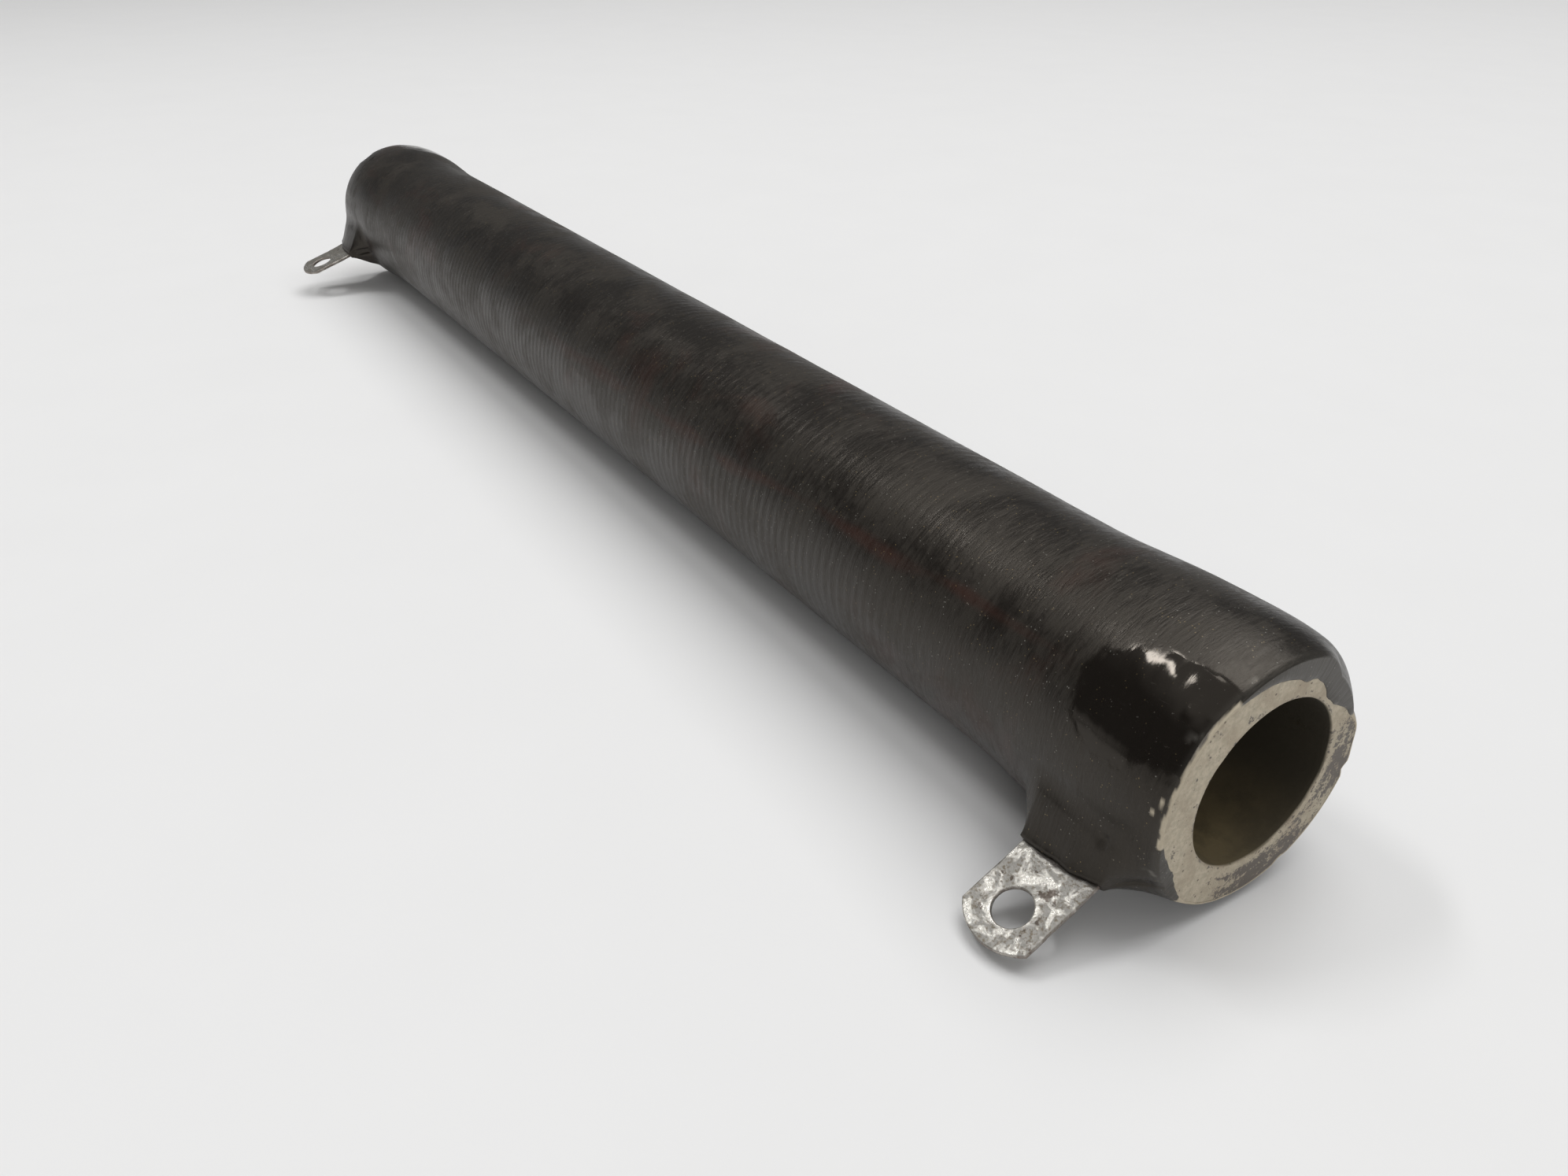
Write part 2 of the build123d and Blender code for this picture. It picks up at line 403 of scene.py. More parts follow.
# ---- materials ------------------------------------------------------------------
def enamel_material(settings):
    """Dark enamel: cloudy matt skin, glossy wet patches, streaks along the ribs, dust and chips."""
    material = bpy.data.materials.new("fired_enamel")
    n = Nodes(material)
    place = n.add("ShaderNodeTexCoord").outputs["Object"]
    unrolled = n.add("ShaderNodeUVMap", {"uv_map": "unrolled"}).outputs["UV"]
    wet = n.attribute("wet")
    chip = n.attribute("chip")
    thin = n.attribute("thin")
    worn = n.attribute("worn")

    streak = n.noise(n.stretch(unrolled, (1900, 420, 1)), 1.0, 5.0, 0.6, 0.4)
    fine_streak = n.noise(n.stretch(unrolled, (4200, 900, 1)), 1.0, 3.0, 0.6)
    cloud = n.noise(place, 95.0, 6.0, 0.62, 0.6)
    grain = n.noise(place, 2600.0, 2.0)

    blotches = n.math("ADD", n.math("MULTIPLY", cloud, 0.65), n.math("MULTIPLY", streak, 0.35))
    matt = n.ramp(blotches, 0.40, 0.62)
    matt = n.math("MULTIPLY", matt, n.ramp(wet, 0.2, 0.8, 1.0, 0.08))
    colour = n.mix(matt, rgba(settings.dark), rgba(settings.cloudy))
    red = n.math("MULTIPLY", n.ramp(n.noise(place, 60.0, 5.0, 0.6, 0.5), 0.54, 0.70), 0.55)
    # Random red-brown patches of thin enamel, with a painted reflection on top: a red-brown line where the
    # floor's horizon shows in the enamel.
    red = n.math("MAXIMUM", red, n.math("MULTIPLY", n.attribute("painted_horizon_line"), 0.9))
    colour = n.mix(red, colour, rgba(settings.thin_enamel_and_horizon_line))
    colour = n.mix(n.math("MULTIPLY", thin, 0.7), colour, (0.034, 0.032, 0.028, 1))

    dots = n.add("ShaderNodeTexVoronoi", {"feature": "F1"}, Vector=place, Scale=2300.0)
    few = n.ramp(n.noise(place, 1300.0, 1.0), 0.53, 0.58)
    dust = n.math("MULTIPLY", n.ramp(dots.outputs["Distance"], 0.10, 0.20, 1.0, 0.0), few)
    dust = n.math("MULTIPLY", dust, n.ramp(wet, 0.2, 0.8, 1.0, 0.3))
    ochre_or_white = n.ramp(n.noise(place, 330.0, 1.0), 0.45, 0.55)
    pale_dust = n.mix(ochre_or_white, (0.33, 0.24, 0.11, 1), (0.36, 0.35, 0.32, 1))
    colour = n.mix(n.math("MULTIPLY", dust, 0.45), colour, pale_dust)
    scuff = n.ramp(n.noise(n.stretch(place, (700, 2600, 2600)), 1.0, 4.0, 0.7, 0.8), 0.62, 0.74)
    colour = n.mix(n.math("MULTIPLY", scuff, 0.14), colour, (0.11, 0.10, 0.088, 1))
    colour = n.mix(n.math("MULTIPLY", worn, 0.8), colour, (0.20, 0.19, 0.17, 1))
    cream_grain = n.mix(n.noise(place, 1500.0, 3.0), (0.40, 0.34, 0.25, 1), (0.56, 0.50, 0.39, 1))
    colour = n.mix(chip, colour, cream_grain)

    rough = n.ramp(matt, 0.0, 1.0, 0.30, 0.47)
    rough = n.math("ADD", rough, n.math("MULTIPLY", n.ramp(grain, 0.3, 0.7), 0.05))
    rough = n.math("MULTIPLY", rough, n.ramp(wet, 0.15, 0.8, 1.0, 0.26))
    rough = n.math("MAXIMUM", rough, n.math("MULTIPLY", chip, 0.85))

    dull = n.ramp(wet, 0.2, 0.8, 1.0, 0.12)
    normal = n.bump(n.math("MULTIPLY", streak, dull), 0.00012, 0.55)
    normal = n.bump(n.math("MULTIPLY", fine_streak, dull), 0.00005, 0.5, normal)
    normal = n.bump(n.math("MULTIPLY", grain, dull), 0.00001, 0.6, normal)
    n.surface(
        Base_Color=colour, Roughness=rough, IOR=1.5,
        Specular_Tint=(1.0, 0.90, 0.78, 1), Normal=normal,
    )
    return material


def ceramic_material(settings):
    """Bare fired body: speckled cream, scratched and soiled, brown inside the bore with painted shade deep in
    it and on its upper side.
    """
    material = bpy.data.materials.new("bare_ceramic")
    n = Nodes(material)
    place = n.add("ShaderNodeTexCoord").outputs["Object"]
    soil = n.attribute("soil")
    bore = n.attribute("bore")
    grain = n.noise(place, 1700.0, 4.0, 0.65)
    cloud = n.noise(place, 260.0, 5.0, 0.6)
    scratches = n.ramp(n.noise(n.stretch(place, (900, 5200, 1300)), 1.0, 5.0, 0.7, 1.2), 0.60, 0.72)
    pits = n.add("ShaderNodeTexVoronoi", Vector=place, Scale=1300.0).outputs["Distance"]
    few = n.ramp(n.noise(place, 800.0, 1.0), 0.52, 0.6)
    pits = n.math("MULTIPLY", n.ramp(pits, 0.12, 0.22, 1.0, 0.0), few)

    cream = tuple(settings.cream)
    dulled = [c * f for c, f in zip(cream, (0.72, 0.68, 0.66))]
    colour = n.mix(n.ramp(grain, 0.3, 0.7), shade_of(cream, 0.80), shade_of(cream, 1.12))
    colour = n.mix(n.ramp(cloud, 0.40, 0.66, 0.0, 0.75), colour, rgba(dulled))
    colour = n.mix(n.math("MULTIPLY", scratches, 0.55), colour, (0.17, 0.145, 0.12, 1))
    colour = n.mix(n.math("MULTIPLY", pits, 0.8), colour, (0.10, 0.08, 0.065, 1))
    crumbs = n.noise(place, 3400.0, 3.0, 0.7)
    ragged = n.math("ADD", soil, n.math("MULTIPLY", n.math("SUBTRACT", grain, 0.5), 1.7))
    ragged = n.math("ADD", ragged, n.math("MULTIPLY", n.math("SUBTRACT", crumbs, 0.5), 1.1))
    dirt = n.ramp(ragged, 0.34, 0.74)
    colour = n.mix(n.math("MULTIPLY", dirt, 0.92), colour, rgba(settings.soil))
    brown = n.mix(n.ramp(cloud, 0.35, 0.65), shade_of(settings.bore, 0.62), rgba(settings.bore))
    # Painted light and shade in the bore: full brown only on the lower side near the mouth, where light falls
    # in; deeper in and on the upper side it is painted near-black shade.
    brown = n.mix(n.attribute("bore_painted_light"), shade_of(settings.bore, 0.13), brown)
    colour = n.mix(bore, colour, brown)

    normal = n.bump(grain, 0.00006, 0.7)
    normal = n.bump(scratches, 0.00003, 0.5, normal)
    n.surface(Base_Color=colour, Roughness=n.ramp(dirt, 0.0, 1.0, 0.82, 0.55), Normal=normal)
    return material


def solder_material(settings):
    """Solder-dipped lug: bright and dull patches, flux stain, dark spots and a brown edge."""
    material = bpy.data.materials.new("dipped_solder")
    n = Nodes(material)
    place = n.add("ShaderNodeTexCoord").outputs["Object"]
    edge = n.attribute("edge")
    stain = n.attribute("stain")
    frost = n.noise(place, 2300.0, 5.0, 0.72)
    patch = n.noise(place, 420.0, 4.0, 0.6, 0.8)
    bright = n.ramp(patch, 0.44, 0.60)
    speck = n.ramp(n.noise(place, 3000.0, 3.0, 0.65), 0.50, 0.62)

    silver = tuple(settings.solder)
    colour = n.mix(bright, shade_of(silver, 0.66), shade_of(silver, 1.35))
    fluxed = n.math("MULTIPLY", speck, n.ramp(patch, 0.40, 0.62, 0.75, 0.15))
    colour = n.mix(fluxed, colour, rgba(settings.flux))
    spots = n.ramp(n.noise(place, 640.0, 4.0, 0.65), 0.60, 0.67)
    colour = n.mix(n.math("MULTIPLY", spots, 0.8), colour, (0.09, 0.065, 0.05, 1))
    colour = n.mix(stain, colour, (0.05, 0.042, 0.035, 1))
    colour = n.mix(n.math("MULTIPLY", edge, 0.6), colour, (0.25, 0.19, 0.16, 1))

    metal = n.ramp(n.math("ADD", stain, n.math("MULTIPLY", speck, 0.45)), 0.0, 1.0, 0.95, 0.35)
    rough = n.ramp(bright, 0.0, 1.0, 0.46, 0.27)
    rough = n.math("ADD", rough, n.math("MULTIPLY", speck, 0.16))
    normal = n.bump(patch, 0.00005, 0.4)
    normal = n.bump(frost, 0.00009, 0.8, normal)
    n.surface(Base_Color=colour, Metallic=metal, Roughness=rough, Normal=normal)
    return material


def drawn_metal(name, colour, tint, lines):
    """Plain rolled or brazed metal for the pieces under the enamel, with rolling lines and tarnish."""
    material = bpy.data.materials.new(name)
    n = Nodes(material)
    place = n.add("ShaderNodeTexCoord").outputs["Object"]
    rolled = n.noise(n.stretch(place, lines), 1.0, 4.0, 0.6)
    tarnish = n.ramp(n.noise(place, 320.0, 4.0, 0.6), 0.40, 0.66)
    shade = n.mix(n.ramp(rolled, 0.3, 0.7), shade_of(colour, 0.8), rgba(colour))
    shade = n.mix(n.math("MULTIPLY", tarnish, 0.5), shade, rgba(tint))
    n.surface(
        Base_Color=shade, Metallic=1.0,
        Roughness=n.ramp(tarnish, 0.0, 1.0, 0.28, 0.5), Normal=n.bump(rolled, 0.00003, 0.4),
    )
    return material


# ---- enamel skin ------------------------------------------------------------------
def bunched(low, high, centres, coarse, fine, reach):
    """Steps from low to high, fine near each centre and coarse elsewhere."""
    places = [low]
    while places[-1] < high:
        near = min(abs(places[-1] - c) for c in centres)
        blend = min(1.0, max(0.0, (near - reach) / (2 * reach)))
        places.append(places[-1] + fine + (coarse - fine) * blend)
    places = np.array(places)
    return low + (places - low) * (high - low) / (places[-1] - low)


def rim_cut(side, degrees):
    """How far chips take the rim in towards the axis at each angle round one end."""
    if side > 0:
        flat = 1.4 * np.minimum(1, 1.8 * hump(degrees, 33, 36))
        nicks = 0.55 * hump(degrees, 344, 4) + 0.35 * hump(degrees, 358, 11) + 0.3 * hump(degrees, 295, 5)
        return (flat + nicks) * MM
    return (0.5 * hump(degrees, 120, 8) + 0.8 * hump(degrees, 262, 12) + 0.35 * hump(degrees, 20, 6)) * MM


def creep(side, degrees):
    """How far the enamel has run from the rim on to the end face at each angle."""
    if side > 0:
        run = 2.3 * np.minimum(1, 1.5 * hump(degrees, 58, 50))
        run = run + 0.9 * hump(degrees, 101, 32) + 1.3 * hump(degrees, 206, 30)
    else:
        run = 1.5 * hump(degrees, 150, 40) + 2.2 * hump(degrees, 330, 34) + 0.8 * hump(degrees, 235, 20)
    angle = np.radians(degrees)
    ring = np.stack([np.cos(angle), np.sin(angle), np.full(len(degrees), side)], 1)
    ragged = 0.16 * lumps(ring, 0.11, 31, 3) + 0.06 * lumps(ring, 0.03, 32)
    return np.maximum(0.12 + run + ragged, 0.03) * MM


def enamel_radius(settings, x, angle):
    """Radius of the enamel's outside at each x and angle, with every swelling, rib, web and pit."""
    degrees = np.degrees(angle) % 360
    side = np.sign(x)
    depth = HALF_LENGTH - np.abs(x)
    around = np.stack([x, CORE_RADIUS * np.cos(angle), CORE_RADIUS * np.sin(angle)], 1)
    cut = np.where(side > 0, rim_cut(1, degrees), rim_cut(-1, degrees))

    rise = BULGE_RADIUS - settings.body_radius
    shoulder = ease((settings.bulge_length - depth) / (settings.bulge_length - settings.bulge_inset))
    radius = settings.body_radius + rise * shoulder * (0.86 + 0.14 * lumps(around, 11 * MM, 3))
    to_rim = np.clip(1 - depth / settings.bulge_inset, 0, 1)
    rim = settings.rim_radius - cut * ease(1 - depth / (3.2 * MM))
    radius = radius + (rim - radius) * to_rim ** 3.2
    radius -= 0.16 * MM * ease(1 - depth / (0.55 * MM)) ** 2

    low_flank = 0.30 + 0.70 * np.maximum(hump(degrees, 190, 44), hump(degrees, 350, 60))
    patchy = (0.75 + 0.45 * lumps(around, 16 * MM, 5, 2)) * low_flank
    covered = ease((depth - 24 * MM) / (26 * MM))
    winding = np.cos(2 * math.pi * (x / settings.rib_pitch - angle / (2 * math.pi)))
    radius += settings.rib_height * covered * np.clip(patchy, 0.1, 1) * winding
    radius += 0.05 * MM * lumps(around, 14 * MM, 7, 2) + 0.014 * MM * lumps(around, 2.4 * MM, 8, 2)

    wet = wet_patches(x, angle)
    radius += wet * (0.030 * MM * lumps(around, 2.2 * MM, 9, 2) + 0.009 * MM * lumps(around, 0.8 * MM, 10))

    for lug in LUGS.values():
        along = np.abs(x - lug["middle"])
        sideways = np.abs(turn_between(degrees, math.degrees(lug["angle"]))) * math.pi / 180 * WEB_MIDDLE
        slope = lug["side"] * (x - lug["middle"]) / lug["width"]
        top = settings.web_height - (1.1 * slope + 1.7 * slope * slope) * MM
        top = top + 0.18 * MM * lumps(around, 2 * MM, 12)
        beyond = np.clip((along - lug["width"] / 2 - WEB_FILM_EDGE) / settings.web_along, 0, 1)
        beside = np.clip((sideways - WEB_FILM_FACE) / settings.web_across, 0, 1)
        climb = (1 - beyond ** (0.5 + 1.4 * beside ** 0.5)) * (1 - beside ** 0.72)
        web = settings.body_radius - 1.0 * MM + (top - settings.body_radius + 1.0 * MM) * climb
        blend = np.clip(0.5 + 0.5 * (web - radius) / WEB_BLEND, 0, 1)
        joined = radius + (web - radius) * blend + WEB_BLEND * blend * (1 - blend) * 0.5
        radius = np.where(climb > 0, joined, radius)

    # end, depth from it in mm, angle in degrees, reach and drop in mm
    pits = ((1, 5.3, 194, 0.9, 0.30), (1, 9.0, 232, 0.6, 0.15),
            (-1, 7.0, 120, 0.8, 0.22), (1, 17.0, 60, 0.7, 0.18))
    for pit_side, pit_depth, pit_angle, pit_size, pit_drop in pits:
        away = away_from(depth, degrees, pit_depth, pit_angle, settings.body_radius)
        radius -= (side == pit_side) * pit_drop * MM * ease(1 - away / (pit_size * MM))
    # depth from the right end in mm, angle in degrees, reach and rise in mm
    beads = ((9.6, 126, 2.2, 0.07), (6.6, 123, 2.2, 0.08), (3.6, 118, 2.2, 0.09), (1.2, 115, 1.2, 0.06),
             (2.6, 133, 0.9, 0.10), (0.9, 130, 0.7, 0.08), (7.6, 142, 0.8, 0.07), (5.0, 149, 0.6, 0.05))
    for bead_depth, bead_angle, bead_size, bead_rise in beads:
        away = away_from(depth, degrees, bead_depth, bead_angle, settings.body_radius)
        radius += (side > 0) * bead_rise * MM * ease(1 - away / (bead_size * MM))
    crease = np.abs(turn_between(degrees, 157 - (depth / MM) * 1.3)) * math.pi / 180 * settings.body_radius
    radius -= (side > 0) * 0.10 * MM * ease(1 - crease / (0.6 * MM)) * ease((10 * MM - depth) / (4 * MM))
    return radius


def wet_patches(x, angle):
    """1 where the enamel is still glossy from the kiln, 0 where it has dulled."""
    degrees = np.degrees(angle) % 360
    depth = (HALF_LENGTH - np.abs(x)) / MM
    around = np.stack([x, CORE_RADIUS * np.cos(angle), CORE_RADIUS * np.sin(angle)], 1)
    ragged = 0.42 * lumps(around, 5 * MM, 21, 3) + 0.30 * lumps(around, 1.3 * MM, 22, 3)
    right = hump(degrees, 139 - 0.9 * (6 - depth), 42) * ease((19 - depth) / 11) * (x > 0)
    right *= ease((degrees - 109) / 10)
    left = hump(degrees, 60, 50) * ease((19 - depth) / 9) * (x < 0)
    under = hump(degrees, 268, 40) * ease((24 - depth) / 9)
    return ease((np.maximum(np.maximum(right, left), under) * 1.5 + ragged - 0.30) / 0.75)


def horizon_reflection_line(x, angle, vertices):
    """Painted reflection: 1 along a red-brown line where the floor's horizon shows in the enamel, wandering
    down the tube's side; 0 away from it.
    """
    degrees = np.degrees(angle) % 360
    depth = (HALF_LENGTH - x) / MM
    centre = 141 + 17 * ease((depth - 15) / 80) + 2.5 * lumps(vertices * (1, 0, 0), 9 * MM, 45)
    width = 4.0 + 2.5 * lumps(vertices * (1, 0, 0), 6 * MM, 46)
    run = ease((width - np.abs(turn_between(degrees, centre))) / 4.0)
    broken = 0.75 + 0.5 * lumps(vertices, 4 * MM, 47, 2)
    return run * ease((depth - 14) / 8) * ease((175 - depth) / 70) * broken


def build_enamel(settings):
    """One closed skin: the outside by radius, a rim and a thin film at each end, and an inner wall."""
    lug_angles = [math.degrees(lug["angle"]) for lug in LUGS.values()]
    start = 270.0
    turns = bunched(start, start + 360, [a + 360 for a in lug_angles], 1.9, 0.55, 9)[:-1]
    angle = np.radians(turns)
    degrees = turns % 360
    outer_end = HALF_LENGTH - END_INSET
    edges = [lug["middle"] + s * lug["width"] / 2 for lug in LUGS.values() for s in (-1, 1)]
    places = bunched(-outer_end, outer_end, edges + [-outer_end, outer_end], 0.275 * MM, 0.14 * MM, 2.2 * MM)

    grid_x, grid_angle = np.meshgrid(places, angle, indexing="ij")
    radius = enamel_radius(settings, grid_x.ravel(), grid_angle.ravel()).reshape(grid_x.shape)
    rows = [(grid_x[i], radius[i]) for i in range(len(places))]
    kinds = [0.0] * len(rows)

    film_steps = (0.0, 0.06, 0.25, 0.5, 0.75, 0.93, 1.0)
    for side in (1, -1):
        lip = radius[-1] if side > 0 else radius[0]
        run = creep(side, degrees)
        film = END_FILM * ease(run / (0.7 * MM))
        end_rows = []
        for step in film_steps:
            height = film * (1 - step ** 6) + 0.03 * MM * step * (1 - step)
            end_rows.append((side * (HALF_LENGTH + height), lip - LIP_INSET - run * step))
        end_rows.append((np.full(len(angle), side * (HALF_LENGTH - 0.3 * MM)), lip - LIP_INSET - run))
        inner_x = np.full(len(angle), side * (HALF_LENGTH - HIDDEN_WALL_START))
        end_rows.append((inner_x, np.full(len(angle), CORE_RADIUS - HIDDEN_WALL_INSET)))
        rows = rows + (end_rows if side > 0 else end_rows[::-1])
        kinds = kinds + [1.0] * len(end_rows)

    vertices = np.concatenate([
        np.stack([x, r * np.cos(angle), r * np.sin(angle)], 1) for x, r in rows
    ])
    piece = mesh_object("enamel_skin", vertices, loft_faces(len(rows), len(angle), True))

    all_x = np.concatenate([row[0] for row in rows])
    all_angle = np.tile(angle, len(rows))
    all_radius = np.concatenate([row[1] for row in rows])
    on_face = np.repeat(kinds, len(angle))
    depth = np.clip(HALF_LENGTH - np.abs(all_x), 0, None)
    all_degrees = np.degrees(all_angle) % 360
    bare_rim = np.where(all_x > 0, creep(1, all_degrees), creep(-1, all_degrees)) < 0.45 * MM
    fine = lumps(vertices, 0.9 * MM, 41, 3)
    chip = ease((0.26 * MM + 0.22 * MM * fine - depth) / (0.10 * MM)) * bare_rim
    # end, depth from it in mm, angle in degrees, reach in mm
    spots = ((1, 0.75, 166, 0.42), (1, 1.3, 171, 0.25), (1, 1.6, 250, 0.4),
             (-1, 1.0, 200, 0.5), (1, 0.9, 344, 0.5))
    for spot_side, spot_depth, spot_angle, spot_size in spots:
        away = away_from(depth, all_degrees, spot_depth, spot_angle, all_radius)
        spot = ease((spot_size * MM * (1 + 0.5 * fine) - away) / (0.12 * MM))
        chip = np.maximum(chip, (np.sign(all_x) == spot_side) * spot)
    thin = np.maximum(ease(1 - depth / (1.0 * MM)), on_face)
    paint(piece, "wet", np.where(on_face > 0, 0.25, wet_patches(all_x, all_angle)))
    paint(piece, "chip", chip)
    # Painted reflection: the line where the floor's horizon shows in the enamel.
    paint(piece, "painted_horizon_line", horizon_reflection_line(all_x, all_angle, vertices))
    paint(piece, "thin", thin)
    rubbed = ease((lumps(vertices, 1.6 * MM, 43, 3) - 0.42) / 0.2)
    paint(piece, "worn", rubbed * ease(1 - depth / (2.0 * MM)) * 0.7)

    layer = piece.data.uv_layers.new(name="unrolled")
    corner = np.zeros(len(piece.data.loops), int)
    piece.data.loops.foreach_get("vertex_index", corner)
    column = corner % len(angle)
    turn = all_angle[corner]
    last_face = np.repeat(np.arange(len(piece.data.polygons)) % len(angle) == len(angle) - 1, 4)
    turn = np.where(last_face & (column == 0), turn + 2 * math.pi, turn)
    flat = np.stack([all_x[corner], turn * settings.body_radius], 1)
    layer.data.foreach_set("uv", flat.astype(np.float32).ravel())
    return piece


# ---- ceramic tube -----------------------------------------------------------------
def build_ceramic(enamel):
    """The tube as one closed lathe form, with worn mouths, flat end faces and chipped rims."""
    count = 288
    angle = np.linspace(0, 2 * math.pi, count, endpoint=False)
    degrees = np.degrees(angle)
    around = np.stack([np.cos(angle), np.sin(angle), np.zeros(count)], 1)
    face_steps = 26
    rows = []
    for side in (-1, 1):
        rim = np.minimum(CORE_RADIUS + 0.42 * MM, enamel.rim_radius - rim_cut(side, degrees) - 0.16 * MM)
        mouth = BORE_RADIUS + (0.22 + 0.10 * lumps(around + side, 0.25, 51, 2)) * MM
        face = []
        face.append((HALF_LENGTH - 0.9 * MM + 0 * angle, np.full(count, BORE_RADIUS)))
        face.append((HALF_LENGTH - 0.28 * MM + 0 * angle, BORE_RADIUS + 0.02 * MM + 0 * angle))
        face.append((HALF_LENGTH - 0.08 * MM + 0 * angle, (mouth + BORE_RADIUS) / 2))
        for k in range(face_steps + 1):
            radius = mouth + (rim - mouth) * k / face_steps
            spot = np.stack([radius * np.cos(angle), radius * np.sin(angle), 0 * angle + side], 1)
            holes = ease((lumps(spot, 1.1 * MM, 53) - 0.55) / 0.3)
            dips = 0.035 * MM * lumps(spot, 2.2 * MM, 52, 2) - 0.05 * MM * holes
            if k == face_steps:
                dips = dips - 0.12 * MM
            face.append((HALF_LENGTH + np.minimum(dips, 0.02 * MM) - 0.01 * MM, radius))
        face.append((HALF_LENGTH - 0.7 * MM + 0 * angle, np.minimum(rim + 0.02 * MM, CORE_RADIUS + 0.3 * MM)))
        face.append((HALF_LENGTH - 2.5 * MM + 0 * angle, np.full(count, CORE_RADIUS - 0.02 * MM)))
        face = [(side * x, r) for x, r in face]
        rows = rows + (face[::-1] if side < 0 else [])
        if side > 0:
            reach = HALF_LENGTH - 0.9 * MM
            between = np.linspace(-reach, reach, 90)[1:-1]
            rows = rows + [(x + 0 * angle, np.full(count, BORE_RADIUS)) for x in between] + face
    vertices = np.concatenate([np.stack([x, r * np.cos(angle), r * np.sin(angle)], 1) for x, r in rows])
    faces = [tuple(reversed(f)) for f in loft_faces(len(rows), count, True)]
    piece = mesh_object("ceramic_tube", vertices, faces)

    x = vertices[:, 0]
    radius = np.hypot(vertices[:, 1], vertices[:, 2])
    turn = np.degrees(np.arctan2(vertices[:, 2], vertices[:, 1])) % 360
    depth = HALF_LENGTH - np.abs(x)
    inside = ease((BORE_RADIUS + 0.14 * MM - radius) / (0.10 * MM))
    inside = np.maximum(inside, ease((depth - 0.05 * MM) / (0.2 * MM)) * (radius < BORE_RADIUS + 0.5 * MM))
    swirl = np.stack([radius * 2.2, np.radians(turn) * CORE_RADIUS * 0.45, np.sign(x) * 5 * MM], 1)
    rubbed = 0.85 + 0.75 * lumps(swirl, 1.3 * MM, 61, 3)
    low_arc = np.maximum(hump(turn, 288, 62), 0.95 * hump(turn, 348, 44))
    low_arc = low_arc * 1.22 * ease((3.2 - np.abs(radius / MM - 12.7)) / 1.8)
    high_arc = 0.8 * hump(turn, 60, 60) * ease(1 - np.abs(radius / MM - 11.6) / 2.4)
    edge_line = 0.75 * ease(1 - np.abs(radius - BORE_RADIUS - 0.25 * MM) / (0.28 * MM))
    soil = np.where(x > 0, low_arc, high_arc) * rubbed
    soil = np.maximum(soil, edge_line * (0.55 + 0.6 * lumps(vertices, 1.5 * MM, 62)))
    soil = np.maximum(soil, 0.5 * ease((lumps(vertices, 1.2 * MM, 63, 2) - 0.35) / 0.3))
    paint(piece, "soil", np.clip(soil, 0, 1))
    paint(piece, "bore", np.clip(inside, 0, 1))
    # Painted light in the bore: 1 on the lower side near the mouth where light falls in, fading to 0 deep
    # inside and on the upper side, which are painted as shade.
    bore_painted_light = ease((depth + 4 * MM) / (9 * MM)) * ease((60 * MM - depth) / (50 * MM))
    paint(piece, "bore_painted_light", hump(turn, 238, 105) * bore_painted_light)
    return piece


# ---- solder lug -------------------------------------------------------------------
def lug_outline(lug, settings, direction):
    """Distance from the hole's middle to the sheet's edge along one direction in its plane."""
    half = lug["width"] / 2
    root = lug["hole_reach"] - CORE_RADIUS - 0.6 * MM
    tip_centre = lug["reach"] - settings.tip_radius - lug["hole_reach"]
    sx, sy = math.cos(direction), math.sin(direction)
    reaches = []
    if abs(sx) > 1e-6:
        reaches.append(half / abs(sx))
    if sy < -1e-6:
        reaches.append(root / -sy)
    if sy > 1e-6:
        b = -sy * tip_centre
        c = tip_centre ** 2 - settings.tip_radius ** 2
        reaches.append(-b + math.sqrt(max(b * b - c, 0)))
    return min(reaches)


